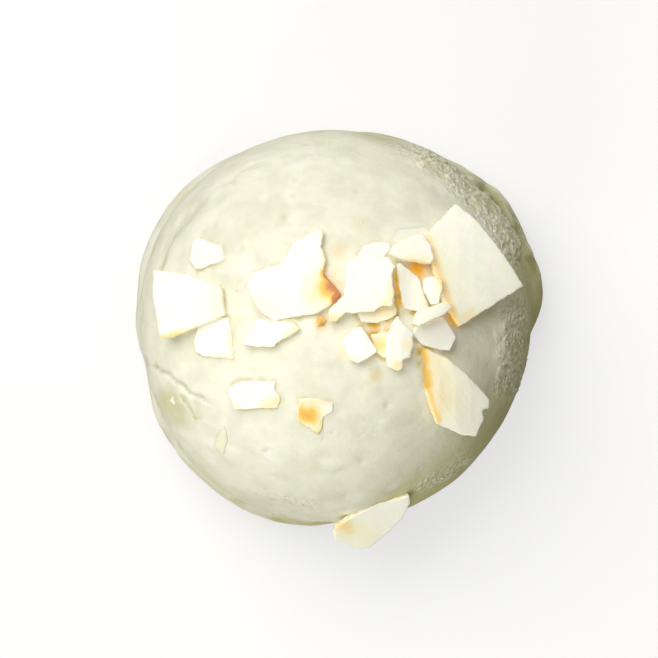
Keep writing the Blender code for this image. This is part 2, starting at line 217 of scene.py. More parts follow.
def mixColour(tree, factor, a, b, blend="MIX"):
    node = tree.nodes.new("ShaderNodeMix")
    node.data_type = "RGBA"
    node.blend_type = blend
    for index, value in ((0, factor), (6, a), (7, b)):
        feed(tree, value, node.inputs[index])
    return node.outputs[2]


def mapRange(tree, value, low, high, kind="SMOOTHSTEP"):
    node = addNode(tree, "ShaderNodeMapRange", interpolation_type=kind)
    node.inputs["From Min"].default_value = low
    node.inputs["From Max"].default_value = high
    tree.links.new(value, node.inputs["Value"])
    return node.outputs[0]


def cloudNode(tree, size, detail, roughness, finer=1.0):
    # noise fixed to the piece itself, with lumps of the given size in mm
    node = addNode(tree, "ShaderNodeTexNoise", Detail=detail, Roughness=roughness)
    tree.links.new(addNode(tree, "ShaderNodeTexCoord").outputs["Object"], node.inputs["Vector"])
    tree.links.new(mathNode(tree, "DIVIDE", finer / mm, size), node.inputs["Scale"])
    return node.outputs["Fac"]


def makeGrainGroup():
    # fine grain: a height for Bump and a mask, from two sizes of noise
    group, given, result = newGroup("fineGrain", {"Size": 1.0, "Coarse": 0.5}, ("Height", "Mask"))
    fine = cloudNode(group, given.outputs["Size"], 3.0, 0.6)
    broad = cloudNode(group, given.outputs["Size"], 2.0, 0.5, 0.27)
    weighted = mathNode(group, "MULTIPLY_ADD", broad, given.outputs["Coarse"], fine)
    group.links.new(weighted, result.inputs["Height"])
    group.links.new(fine, result.inputs["Mask"])
    return group


def makeBlotchGroup():
    # cloudy colour: two near colours in soft patches, with a third one, a painted golden glow, where the mask says
    inputs = {
        "Main": (0.9, 0.88, 0.78, 1),
        "Second": (0.8, 0.78, 0.66, 1),
        "Stain": (0.9, 0.6, 0.2, 1),
        "Stain Amount": 0.0,
        "Patch Size": 6.0,
    }
    group, given, result = newGroup("blotches", inputs, ("Color",))
    cloud = cloudNode(group, given.outputs["Patch Size"], 4.0, 0.55)
    base = mixColour(group, mapRange(group, cloud, 0.35, 0.68), given.outputs["Main"], given.outputs["Second"])
    glowMixed = mixColour(group, given.outputs["Stain Amount"], base, given.outputs["Stain"])
    group.links.new(glowMixed, result.inputs["Color"])
    return group


def makeToastGroup():
    # toasting: pale, golden and brown by amount, broken up by patches
    inputs = {
        "Pale": (0.95, 0.92, 0.82, 1),
        "Golden": (0.9, 0.6, 0.2, 1),
        "Brown": (0.45, 0.2, 0.05, 1),
        "Amount": 0.0,
        "Patchiness": 0.3,
        "Patch Size": 1.5,
    }
    group, given, result = newGroup("toasting", inputs, ("Color",))
    cloud = cloudNode(group, given.outputs["Patch Size"], 3.0, 0.6)
    uneven = mathNode(group, "MULTIPLY", mathNode(group, "SUBTRACT", cloud, 0.5), given.outputs["Patchiness"])
    # patches only show where there is some toasting at all
    reach = mathNode(group, "MINIMUM", mathNode(group, "MULTIPLY", given.outputs["Amount"], 5.0), 1.0)
    amount = mathNode(group, "MULTIPLY_ADD", uneven, reach, given.outputs["Amount"])
    golden = mapRange(group, amount, 0.0, 0.6, "LINEAR")
    brown = mapRange(group, amount, 0.55, 1.1)
    warm = mixColour(group, golden, given.outputs["Pale"], given.outputs["Golden"])
    group.links.new(mixColour(group, brown, warm, given.outputs["Brown"]), result.inputs["Color"])
    return group


def makeFibreGroup():
    # coconut fibre: long fine streaks across the stored grain direction
    inputs = {"Across": 0.0, "Along": 0.0, "Width": 0.3, "Length": 6.0}
    group, given, result = newGroup("fibres", inputs, ("Height", "Mask"))
    lay = addNode(group, "ShaderNodeCombineXYZ")
    group.links.new(mathNode(group, "DIVIDE", given.outputs["Across"], given.outputs["Width"]), lay.inputs[0])
    group.links.new(mathNode(group, "DIVIDE", given.outputs["Along"], given.outputs["Length"]), lay.inputs[1])
    streaks = addNode(group, "ShaderNodeTexNoise", Scale=1.0, Detail=2.0, Roughness=0.55, Distortion=0.15)
    group.links.new(lay.outputs[0], streaks.inputs["Vector"])
    group.links.new(streaks.outputs["Fac"], result.inputs["Height"])
    group.links.new(mapRange(group, streaks.outputs["Fac"], 0.42, 0.7), result.inputs["Mask"])
    return group


grainGroup = makeGrainGroup()
blotchGroup = makeBlotchGroup()
toastGroup = makeToastGroup()
fibreGroup = makeFibreGroup()


def placeGroup(tree, group, **values):
    node = tree.nodes.new("ShaderNodeGroup")
    node.node_tree = group
    for key, value in values.items():
        feed(tree, value, node.inputs[key.replace("_", " ")])
    return node


def maskNode(tree, name):
    node = tree.nodes.new("ShaderNodeAttribute")
    node.attribute_name = name
    return node.outputs["Fac"]


def startMaterial(name, look):
    material = bpy.data.materials.new(name)
    material.use_nodes = True
    tree = material.node_tree
    shader = tree.nodes["Principled BSDF"]
    for socket, value in look.items():
        shader.inputs[socket].default_value = value
    return material, tree, shader


def addBump(tree, shader, height, depth, strength=1.0):
    bump = addNode(tree, "ShaderNodeBump", Strength=strength, Distance=depth)
    tree.links.new(height, bump.inputs["Height"])
    tree.links.new(bump.outputs[0], shader.inputs["Normal"])


iceCreamLook = {
    "main": (0.885, 0.882, 0.755, 1),
    "second": (0.80, 0.802, 0.665, 1),
    "milk": (0.93, 0.927, 0.815, 1),        # lighter, milkier patches, and painted highlight on ridge crests, ledge knobs and frost crumbs
    "wet": (0.54, 0.51, 0.20, 1),          # painted olive shade on the shaded right side, lower rims and foot
    # painted golden glow in the heap's gaps and beside chips
    "stain": (0.93, 0.45, 0.015, 1),
    "contact": (0.60, 0.42, 0.05, 1),      # golden shade where chips touch it
    "hollow": (0.34, 0.33, 0.14, 1),       # painted shade down in grooves, pits, folds and among frost
    "patchSize": 4.2,
    "grainSize": 0.35,
    "shader": {
        "Subsurface Weight": 0.35,
        "Subsurface Radius": (1.0, 0.9, 0.55),
        "Subsurface Scale": 1.0 * mm,
        "Roughness": 0.55,
        "IOR": 1.36,
        "Specular IOR Level": 0.35,
        "Emission Strength": 0.13,
    },
}


def makeIceCream(look):
    material, tree, shader = startMaterial("iceCream", look["shader"])
    # cloudy colour with the painted golden glow mixed in
    colour = placeGroup(
        tree, blotchGroup, Main=look["main"], Second=look["second"], Stain=look["stain"],
        Stain_Amount=maskNode(tree, "stain"), Patch_Size=look["patchSize"],
    )
    grain = placeGroup(tree, grainGroup, Size=look["grainSize"], Coarse=1.2)
    # painted olive side shade, then milky patches with painted highlight
    sideShaded = mixColour(tree, maskNode(tree, "wet"), colour.outputs["Color"], look["wet"])
    milkAndHighlighted = mixColour(tree, maskNode(tree, "milk"), sideShaded, look["milk"])
    frost = maskNode(tree, "frost")
    hollow = maskNode(tree, "hollow")
    speckle = mapRange(tree, grain.outputs["Mask"], 0.40, 0.62)
    # painted shade: frost is dark between its grains; hollows are dark all through
    between = mathNode(tree, "MULTIPLY", mathNode(tree, "SUBTRACT", 1.0, speckle), frost)
    shadeAmount = mathNode(tree, "MULTIPLY_ADD", between, 0.2, hollow)
    shadeAmount = mathNode(tree, "MINIMUM", shadeAmount, 0.95)
    shaded = mixColour(tree, shadeAmount, milkAndHighlighted, look["hollow"])
    touched = mixColour(tree, maskNode(tree, "contact"), shaded, look["contact"])
    tree.links.new(touched, shader.inputs["Base Color"])
    # the gaps in the heap glow with light that comes through the toasted chips
    glow = mixColour(tree, maskNode(tree, "stain"), (0, 0, 0, 1), look["stain"])
    tree.links.new(glow, shader.inputs["Emission Color"])
    rough = mathNode(tree, "MULTIPLY_ADD", frost, 0.3, 0.5)
    tree.links.new(rough, shader.inputs["Roughness"])
    rise = mathNode(tree, "MULTIPLY_ADD", frost, 2.2, 0.35)
    addBump(tree, shader, mathNode(tree, "MULTIPLY", grain.outputs["Height"], rise), 0.12 * mm)
    return material


fibreSpan = 100                              # mm that the stored fibre places cover, from 0 to 1

chipLook = {
    "pale": (0.985, 0.97, 0.855, 1),
    "golden": (0.93, 0.575, 0.12, 1),
    "brown": (0.50, 0.165, 0.07, 1),
    "fibreShade": (0.96, 0.93, 0.84, 1),
    "lilac": (0.90, 0.87, 0.83, 1),
    "smear": (0.885, 0.87, 0.70, 1),        # ice cream over the ones that lie in it
    "fibreWidth": 0.42,
    "fibreLength": 6.5,
    "shader": {
        "Subsurface Weight": 0.6,
        "Subsurface Radius": (1.0, 0.74, 0.38),
        "Subsurface Scale": 1.4 * mm,
        "IOR": 1.45,
        "Specular IOR Level": 0.4,
        "Emission Strength": 0.12,          # stands in for light that passes through thin flesh
    },
}


def toastColour(tree, look, patchiness, size):
    shades = {"Pale": look["pale"], "Golden": look["golden"], "Brown": look["brown"]}
    amount = maskNode(tree, "toast")
    toast = placeGroup(tree, toastGroup, **shades, Amount=amount, Patchiness=patchiness, Patch_Size=size)
    return toast.outputs["Color"]


def makeChip(look):
    material, tree, shader = startMaterial("coconutFlesh", look["shader"])
    fibre = placeGroup(
        tree, fibreGroup, Across=maskNode(tree, "across"), Along=maskNode(tree, "along"),
        Width=look["fibreWidth"] / fibreSpan, Length=look["fibreLength"] / fibreSpan,
    )
    toast = toastColour(tree, look, 0.2, 1.6)
    grey = mixColour(tree, maskNode(tree, "lilac"), toast, look["lilac"])
    faint = mathNode(tree, "MULTIPLY", fibre.outputs["Mask"], 0.22)
    streaked = mixColour(tree, faint, grey, look["fibreShade"], "MULTIPLY")
    veiled = mixColour(tree, maskNode(tree, "veil"), streaked, look["smear"])
    tree.links.new(veiled, shader.inputs["Base Color"])
    tree.links.new(mixColour(tree, maskNode(tree, "veil"), veiled, (0, 0, 0, 1)), shader.inputs["Emission Color"])
    grain = placeGroup(tree, grainGroup, Size=0.3, Coarse=0.8)
    rough = mathNode(tree, "MULTIPLY_ADD", grain.outputs["Mask"], 0.3, 0.32)
    tree.links.new(rough, shader.inputs["Roughness"])
    height = mathNode(tree, "MULTIPLY_ADD", grain.outputs["Height"], 0.35, fibre.outputs["Height"])
    addBump(tree, shader, height, 0.035 * mm, 0.8)
    return material


crumbLook = {
    "smear": (0.875, 0.865, 0.74, 1),
    "pale": (0.95, 0.80, 0.50, 1),
    "golden": (0.90, 0.52, 0.13, 1),
    "brown": (0.34, 0.12, 0.03, 1),
    "shader": {
        "Subsurface Weight": 0.15,
        "Subsurface Radius": (1.0, 0.6, 0.3),
        "Subsurface Scale": 0.6 * mm,
        "IOR": 1.45,
    },
}


def makeCrumb(look):
    material, tree, shader = startMaterial("toastedCrumb", look["shader"])
    toast = toastColour(tree, look, 0.9, 0.6)
    # a smear of ice cream over those that lie in it
    veiled = mixColour(tree, maskNode(tree, "veil"), toast, look["smear"])
    tree.links.new(veiled, shader.inputs["Base Color"])
    grain = placeGroup(tree, grainGroup, Size=0.22, Coarse=1.0)
    tree.links.new(mathNode(tree, "MULTIPLY_ADD", grain.outputs["Mask"], 0.35, 0.4), shader.inputs["Roughness"])
    addBump(tree, shader, grain.outputs["Height"], 0.12 * mm)
    return material


iceCream = makeIceCream(iceCreamLook)
coconutFlesh = makeChip(chipLook)
toastedCrumb = makeCrumb(crumbLook)
print("finishes ready")


# places on it are in mm from the middle of its foot, seen from above
scoop = {
    "node": "ice_cream_scoop",
    "waist": 18.0 * mm,                     # height of its widest place
    "radius": 33.6 * mm,
    "shift": (-0.7 * mm, 0.3 * mm),
    "step": 0.44 * mm,                      # mesh size where it shows
    "underStep": 1.3 * mm,                  # and underneath
    "underFalls": (127, 118),               # degrees from the top between which the mesh turns coarse
    "printReach": 1.5 * mm,                 # skin this near a chip is a print and gets filled over
    "fillRounds": 900,
    "relaxRounds": 25,
    "stillFoot": 3.0 * mm,                  # below this height nothing is moved much
    # how far edges wander in mm, and how much they sway down the sides
    "crooked": {"wander": 0.45, "wanderSize": 2.2 * mm, "sway": 3.2, "swaySize": 6.0 * mm, "sides": (24, 14)},
    "lumps": [(10.0, 0.22), (4.0, 0.10)],   # size and height of its soft lumps
    # scoop marks run round it, higher on the sides, and keep off the top
    "drag": {"length": 9.0, "width": 1.4, "height": 0.035, "sides": (26, 14), "extra": 2.2, "from": (10, 18)},
    "ridgeHighlight": 2.6,                       # painted highlight: how much lighter a ridge is, for each mm it rises
    "ridges": [
        {"path": [(-23, 21.5), (-17, 25.2), (-12, 27.6)], "width": 2.4, "rise": 0.24},
        {"path": [(-15, 26.8), (-9, 28.8), (-2, 30)], "width": 1.9, "rise": 0.24},
        {"path": [(-10, 25.8), (-3, 27.3), (4, 27.0)], "width": 1.3, "rise": 0.16},
        {"path": [(-27.5, 8), (-26, 13), (-23, 17)], "width": 1.4, "rise": 0.22},
        {"path": [(-4, -22), (3, -23.6), (9, -22.4)], "width": 1.6, "rise": 0.15},
        {"path": [(27.2, 2), (27.6, -3), (27.0, -9)], "width": 1.5, "rise": 0.35},
        {"path": [(-14, -18.5), (-8, -20.4), (-2, -20.2)], "width": 1.4, "rise": 0.14},
    ],
    # the crumbly lip that overhangs the crevice
    "lip": {"path": [(12.5, 31.2), (18.5, 28), (23, 24.4), (26.8, 20), (29.6, 15.4), (31.5, 11)],
            "width": 2.2, "rise": 1.15, "above": 13.0},
    "folds": [                              # one sheet lies over the next: the sheet is left of the path
        {"path": [(-20, -12.8), (-23, -11.7), (-25, -10.7), (-27, -9), (-29, -7.5), (-32, -6.0)],
         "rise": 0.32, "drop": 0.42, "width": 0.55, "fade": 3.0},
        {"path": [(-22, -15.2), (-23.7, -15), (-26.4, -10.6)],
         "rise": 0.08, "drop": 0.16, "width": 0.5, "fade": 2.0},
    ],
    # grooves, with how much painted shade each holds
    "grooves": [
        {"path": [(-22, 22), (-27, 17), (-29.5, 12), (-31.5, 7)], "width": 0.8, "depth": 0.5, "dark": 0.2},
        {"path": [(-33.2, -4), (-32.7, -10), (-31.2, -13.5), (-29, -17.8), (-26.6, -21.4)],
         "width": 0.7, "depth": 0.9, "dark": 0.4},
        {"path": [(15, 31.6), (19, 29.6), (22.6, 27.3), (25.7, 24.4), (28.7, 20.6), (31.4, 15.8), (32.9, 10.8)],
         "width": 1.1, "depth": 1.6, "dark": 1.0, "below": 13.0},
    ],
    "pitDepth": 0.28,
    "pits": [                               # place and size
        (-17.5, 24.3, 1.0), (-9, 18.3, 0.9), (-7.5, 22, 0.8), (-7, 24.5, 0.7), (-16, 13, 0.8), (8, -12.5, 0.9),
        (17, 30.2, 1.3), (33.2, 14.8, 1.2), (-20.5, 17.0, 0.7), (3.0, 22.5, 0.6), (-12, -20.5, 0.9), (4, -22, 0.8),
    ],
    # the knobbly ledge under the lip
    "ledge": {"x": (14, 24), "y": (5, 14), "top": (14, 11), "bottom": (2, 5),
              "knobs": 2.6 * mm, "smallKnobs": 1.0 * mm, "rise": 0.3},
    "airPits": {"size": 0.75 * mm, "depth": 0.08, "crowds": 5 * mm},
    "crumbs": {"coarse": 0.80 * mm, "fine": 0.45 * mm, "rise": 0.72},
    "frost": [                              # crumbly frosty bands
        {"path": [(7, 33), (13, 31.0), (18.5, 27.6), (22.4, 23.4), (26.6, 18.8), (29.2, 13.5), (31, 6)],
         "reach": 3.0, "amount": 1.0},
        {"path": [(30.6, 7), (29.0, 0), (29.5, -4.5), (28.9, -9.5), (27.6, -13.5)], "reach": 2.9, "amount": 0.95},
        {"path": [(23.5, -20.4), (19.5, -23.6), (15, -26.3), (11.5, -28.0)], "reach": 1.3, "amount": 0.6},
        {"path": [(-21, -28.6), (-17, -31.0), (-12, -32.4), (-7, -33.6), (-1, -34.4), (3, -34.4)],
         "reach": 1.3, "amount": 1.0},
        {"path": [(-15, -26.6), (-10, -28.6), (-5, -29.5), (-2, -30.4)], "reach": 1.2, "amount": 0.35},
        {"path": [(17.5, 31.3), (24.3, 27.4), (28.6, 23.2), (32, 17.5)], "reach": 1.0, "amount": 0.35},
    ],
    "wet": [                                # painted olive shade along the shaded right side, the rims and beside a fold
        {"path": [(33.5, 13), (36.0, 7), (35.4, 1), (33.4, -7), (30.5, -15), (25, -22.6), (18.5, -28.5), (12, -32)],
         "reach": 6.2, "amount": 0.78},
        {"path": [(16, 30), (23.2, 25), (28, 19.2), (32, 12)], "reach": 3.0, "amount": 0.7},
        {"path": [(-25.5, -23.5), (-20.5, -28.2), (-13, -32)], "reach": 2.4, "amount": 0.2},
        {"path": [(4, 33.6), (13, 31.4), (18, 28.8)], "reach": 1.6, "amount": 0.4},
        {"path": [(-16, -31.4), (-12, -32.9), (-7, -34.1), (-1, -34.8)], "reach": 1.1, "amount": 0.8},
        {"path": [(-26, -14), (-28, -12.5)], "reach": 2.6, "amount": 0.5},
    ],
    "chipGlows": [                             # painted golden glow in the heap's gaps and beside chips: place, size, strength
        (13, 9.6, 1.5, 1.0), (9.6, 8.0, 0.8, 1.0), (9.6, 6.3, 0.8, 1.0), (9.9, 4.4, 0.9, 0.9), (17.4, 5.8, 1.3, 0.95),
        (18.7, 1.2, 1.2, 0.9), (5.5, 0.3, 0.9, 0.75), (8.2, -0.4, 1.0, 0.5), (0.3, -4.5, 0.6, 0.2),
        (13.3, -3.6, 0.8, 0.4), (13.9, -6.8, 0.8, 0.4), (14.5, -2.5, 1.2, 0.4), (0.0, 8, 1.5, 0.3),
        (0.2, 12.5, 1.2, 0.25), (0.5, 4.5, 1.3, 0.4), (-2.5, 0, 1.4, 0.25), (3.5, 17, 1.5, 0.10),
        (14, 28, 1.2, 0.10), (-28, -12.5, 1.4, 0.08), (6, -8.3, 0.9, 0.22), (-20, 3, 1.2, 0.18),
        (-16, 1, 1.2, 0.15),
    ],
    "creep": {"reach": 1.4 * mm, "rise": 0.22},     # it creeps a little way up whatever is pressed into it
    # golden shade right beside the chips, strongest around the middle of the heap
    "contact": {"reach": 1.0 * mm, "heap": (11.0, 2.0), "radii": (11, 6), "amount": 0.95},
    "veiled": ("sunken_seed_flake", "sunken_flake", "sunken_pale_flake", "back_veil", "upper_crumb", "back_crumb",
               "side_crumb", "low_crumb", "left_crumb"),
    "creaseShadeTint": 0.85,
}

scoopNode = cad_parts[scoop["node"]]
otherNodes = [node for name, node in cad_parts.items() if name != scoop["node"]]
openNodes = [node for node in otherNodes if node.name not in scoop["veiled"]]


def treeOf(objects):
    points, faces = [], []
    for ob in objects:
        start = len(points)
        points += [v.co.copy() for v in ob.data.vertices]
        faces += [tuple(start + i for i in p.vertices) for p in ob.data.polygons]
    return BVHTree.FromPolygons(points, faces)


def directions(fall, bearing):
    return np.stack([np.sin(fall) * np.cos(bearing), np.sin(fall) * np.sin(bearing), np.cos(fall)], axis=-1)


def ovalReach(fall, form):
    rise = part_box(form["node"])[1].z - form["waist"]
    return 1 / np.sqrt((np.sin(fall) / form["radius"]) ** 2 + (np.cos(fall) / rise) ** 2)


def measureScoop(form, falls=91, bearings=180):
    # reach from the ball's middle to its skin, as a share of a plain oval; the chips' prints are filled over
    skin = treeOf([scoopNode])
    chipsTree = treeOf(otherNodes)
    middle = Vector((*form["shift"], form["waist"]))
    fall = np.repeat(np.linspace(0, math.pi, falls)[:, None], bearings, axis=1)
    bearing = np.repeat(np.linspace(0, 2 * math.pi, bearings, endpoint=False)[None, :], falls, axis=0)
    ways = directions(fall, bearing)
    share = np.ones((falls, bearings))
    known = np.zeros((falls, bearings), dtype=bool)
    oval = ovalReach(fall, form)
    for i in range(falls):
        for j in range(bearings):
            way = Vector(ways[i, j])
            hit = skin.ray_cast(middle + way * 0.1, -way)[0]
            near = chipsTree.find_nearest(hit, form["printReach"])[0]
            share[i, j] = (hit - middle).length / oval[i, j]
            known[i, j] = near is None

    def sumBeside(grid):
        # the four neighbours of each place: two down the fall, two around the ring
        downward = np.vstack([grid[1:2], grid[:-1]]) + np.vstack([grid[1:], grid[-2:-1]])
        return downward + np.roll(grid, 1, 1) + np.roll(grid, -1, 1)

    filled = np.where(known, share, share[known].mean())
    for _ in range(form["fillRounds"]):
        filled = np.where(known, share, sumBeside(filled) / 4)
        filled[0] = filled[1].mean()
    for _ in range(2):
        filled = (filled * 2 + sumBeside(filled) / 2) / 4
    return filled


def readGrid(grid, fall, bearing):
    # smooth cubic reading of the measured grid
    rows, columns = grid.shape
    u = fall / math.pi * (rows - 1)
    v = bearing / (2 * math.pi) * columns
    i, j = np.floor(u).astype(int), np.floor(v).astype(int)
    s, t = u - i, v - j

    def weights(x):
        return [(-x + 2 * x**2 - x**3) / 2, (2 - 5 * x**2 + 3 * x**3) / 2,
                (x + 4 * x**2 - 3 * x**3) / 2, (x**3 - x**2) / 2]

    total = np.zeros_like(u)
    for a, wa in zip(range(-1, 3), weights(s)):
        row = np.clip(i + a, 0, rows - 1)
        for b, wb in zip(range(-1, 3), weights(t)):
            total += wa * wb * grid[row, (j + b) % columns]
    return total


def ringFalls(form):
    falls, fall = [], 0.0
    coarse, fineAgain = (math.radians(degrees) for degrees in form["underFalls"])
    while fall < math.radians(176):
        fine = smooth(coarse, fineAgain, np.array([fall]))[0]
        step = form["underStep"] + (form["step"] - form["underStep"]) * fine
        fall += step * 0.87 / form["radius"] * (1.0 if fall > 0.5 else 1.1)
        falls.append((fall, step))
    return falls[:-1]


def stitchRings(inner, outer, faces):
    # joins two rings of different counts by triangles
    i = j = 0
    ni, no = len(inner), len(outer)
    while i < ni or j < no:
        if j < no and (i >= ni or (j + 1) * ni <= (i + 1) * no):
            faces.append((inner[i % ni], outer[j % no], outer[(j + 1) % no]))
            j += 1
        else:
            faces.append((inner[i % ni], outer[j % no], inner[(i + 1) % ni]))
            i += 1


def layRings(form):
    falls, bearings, faces = [0.0], [0.0], []
    before = [0]
    for n, (fall, step) in enumerate(ringFalls(form)):
        around = max(6, int(round(2 * math.pi * form["radius"] * math.sin(fall) / step)))
        start = len(falls)
        falls += [fall] * around
        bearings += list((np.arange(around) + 0.5 * (n % 2)) * 2 * math.pi / around)
        ring = list(range(start, start + around))
        if len(before) == 1:
            faces += [(0, ring[k], ring[(k + 1) % around]) for k in range(around)]
        else:
            stitchRings(before, ring, faces)
        before = ring
    last = len(falls)
    falls.append(math.pi)
    bearings.append(0.0)
    faces += [(last, before[(k + 1) % len(before)], before[k]) for k in range(len(before))]
    return np.array(falls), np.array(bearings), faces


def crookedPlan(points):
    # places seen from above, a little crooked, so that no feature has a straight edge
    form = scoop["crooked"]
    wander = sidewaysNoise(points, form["wanderSize"], 3)
    sway = sidewaysNoise(points, form["swaySize"], 5)
    steep = smooth(*form["sides"], heights(points))[:, None]
    return inPlan(points) + form["wander"] * wander + form["sway"] * sway * steep


def frostMask(points, form):
    frost = np.zeros(len(points))
    crooked = crookedPlan(points)
    for band in form["frost"]:
        distance, _, along = pathField(crooked, band["path"])
        mask = band["amount"] * (1 - smooth(band["reach"] * 0.4, band["reach"] * 1.35, distance))
        frost = np.maximum(frost, mask * endFade(along, 0.22, 0.22, -0.02))
    plan = inPlan(points)
    onLedge = smooth(8, 16, plan[:, 0]) * smooth(0, 8, plan[:, 1])
    foot = 15 + 5 * noiseAt(points, 6 * mm, 8) - 7 * onLedge           # height where it thins out, uneven
    shown = smooth(foot - 5, foot + 3, heights(points))
    return frost * smooth(-0.75, 0.1, noiseAt(points, 1.6 * mm, 9)) * shown


def refine(mesh, mask):
    # a finer mesh where the mask is, for detail that the rest doesn't need
    work = bmesh.new()
    work.from_mesh(mesh)
    edges = [e for e in work.edges if mask[e.verts[0].index] and mask[e.verts[1].index]]
    bmesh.ops.subdivide_edges(work, edges=edges, cuts=1, use_grid_fill=True)
    bmesh.ops.triangulate(work, faces=work.faces)
    work.to_mesh(mesh)
    work.free()
    smoothFaces(mesh)


def layScoop(form):
    falls, bearings, faces = layRings(form)
    reach = ovalReach(falls, form) * readGrid(measureScoop(form), falls, bearings % (2 * math.pi))
    middle = np.array([*form["shift"], form["waist"]])
    points = middle + directions(falls, bearings) * reach[:, None]
    made = newObject("iceCreamScoop", points, faces, iceCream)
    points = relax(points, readEdges(made.data), form["relaxRounds"])
    points[:, 2] = np.maximum(points[:, 2], 0)
    writePoints(made.data, points)
    refine(made.data, frostMask(points, form) > 0.15)
    print("scoop laid out:", len(made.data.vertices), "points,", len(made.data.polygons), "faces")
    return made, middle


def softRelief(points, middle, form):
    lift = np.zeros(len(points))
    for size, height in form["lumps"]:
        lift += height * mm * noiseAt(points, size * mm, size)
    turned = points - middle
    falls = np.arccos(turned[:, 2] / np.linalg.norm(turned, axis=1))
    bearings = np.arctan2(turned[:, 1], turned[:, 0])
    drag = form["drag"]
    round30 = 30 / drag["length"]                        # 30 mm: about how far out the marks run
    down = falls * form["radius"] / mm / drag["width"]
    around = np.stack([np.cos(bearings) * round30, np.sin(bearings) * round30, down], axis=1)
    marks = np.array([noise.noise(Vector(p)) for p in around])
    stronger = 1 + drag["extra"] * smooth(*drag["sides"], heights(points))
    out = np.linalg.norm(inPlan(points), axis=1)
    return lift + drag["height"] * mm * marks * stronger * smooth(*drag["from"], out), falls


def pathRelief(points, crooked, up, form):
    # ridges, the lip, folds, grooves and pits: how far they move the skin, their painted shade and the painted
    # highlight on their crests
    lift, hollow, milk = np.zeros((3, len(points)))
    height = heights(points)
    broken = noiseAt(points, 2.6 * mm, 12)
    for ridge in form["ridges"]:
        crest = bandMask(crooked, ridge, 0.2, 0.2) * up * smooth(-0.5, 0.15, broken)
        lift += ridge["rise"] * mm * crest
        milk = np.maximum(milk, form["ridgeHighlight"] * ridge["rise"] * crest)
    lip = form["lip"]
    bulge = bandMask(crooked, lip, 0.15, 0.12) * smooth(lip["above"] - 1.5, lip["above"] + 1.5, height)
    lift += lip["rise"] * mm * bulge
    for fold in form["folds"]:
        distance, side, along = pathField(crooked, fold["path"])
        ends = endFade(along, 0.25, 0.12)
        over = np.where(side > 0, np.exp(-distance / fold["fade"]), 0) * smooth(0, 0.35, distance)
        under = np.where(side <= 0, np.exp(-(distance / fold["width"]) ** 2), 0)
        lift += ends * mm * (fold["rise"] * over - fold["drop"] * under) * up
        hollow = np.maximum(hollow, 0.5 * ends * under * up)
    for groove in form["grooves"]:
        cut = bandMask(crooked, groove, 0.1, 0.1) * up
        if "below" in groove:
            cut = cut * smooth(groove["below"] + 1.5, groove["below"] - 1.5, height)
        lift -= groove["depth"] * mm * cut
        hollow = np.maximum(hollow, groove["dark"] * cut)
    for x, y, size in form["pits"]:
        dent = spotMask(crooked, x, y, 0.6 * size) * up
        lift -= form["pitDepth"] * mm * size * dent
        hollow = np.maximum(hollow, 0.22 * dent)
    return lift, hollow, milk


def ledgeKnobs(points, form):
    plan, height = inPlan(points), heights(points)
    shown = smooth(*form["top"], height) * smooth(*form["bottom"], height)
    shown *= smooth(*form["x"], plan[:, 0]) * smooth(*form["y"], plan[:, 1])
    return noiseAt(points, form["knobs"], 71) + 0.4 * noiseAt(points, form["smallKnobs"], 72), shown


def frostCrumbs(points, frost, form):
    crumbs = np.zeros(len(points))
    for k in np.nonzero(frost > 0.02)[0]:
        where = Vector(points[k])
        coarse = noise.voronoi(where / form["coarse"])[0]
        fine = noise.voronoi(where / form["fine"])[0]
        crumbs[k] = 0.65 * (0.55 - coarse[0]) + 0.35 * (0.5 - fine[0])
    return crumbs


def sideShadeMask(points, crooked, normals, frost, form):
    # painted olive shade along the shaded side
    wet = np.zeros(len(points))
    for rim in form["wet"]:
        distance = pathField(crooked, rim["path"])[0]
        wet = np.maximum(wet, rim["amount"] * (1 - smooth(rim["reach"] * 0.4, rim["reach"] * 1.5, distance)))
    wet *= 1 - 0.6 * frost
    # the painted side shade thins out down the side, where a painted shade that darkens towards the foot takes over
    uneven = heights(points) + 5 * noiseAt(points, 8 * mm, 61) + 2 * noiseAt(points, 3 * mm, 62)
    kept = np.maximum(0.4 + 0.6 * smooth(4, 22, uneven), smooth(-0.05, 0.2, normals[:, 2]))
    return np.maximum(wet * kept, 0.3 * smooth(10, 2, uneven))


def nearness(points, picks, tree, reach):
    # 1 where a point touches what the tree holds, 0 from the given reach on
    near = np.zeros(len(points))
    for k in picks:
        gap = tree.find_nearest(Vector(points[k]), reach)[3]
        if gap is not None:
            near[k] = max(0.0, 1 - gap / reach)
    return near


def contactMask(points, creep, form):
    touch = nearness(points, np.nonzero(creep > 0)[0], treeOf(openNodes), form["reach"])
    fromHeap = np.linalg.norm(inPlan(points) - form["heap"], axis=1)
    crowded = 0.25 + 0.75 * smooth(*form["radii"], fromHeap)
    broken = smooth(-0.5, 0.2, noiseAt(points, 1.3 * mm, 33))
    return form["amount"] * smooth(0.1, 0.8, touch) * crowded * broken


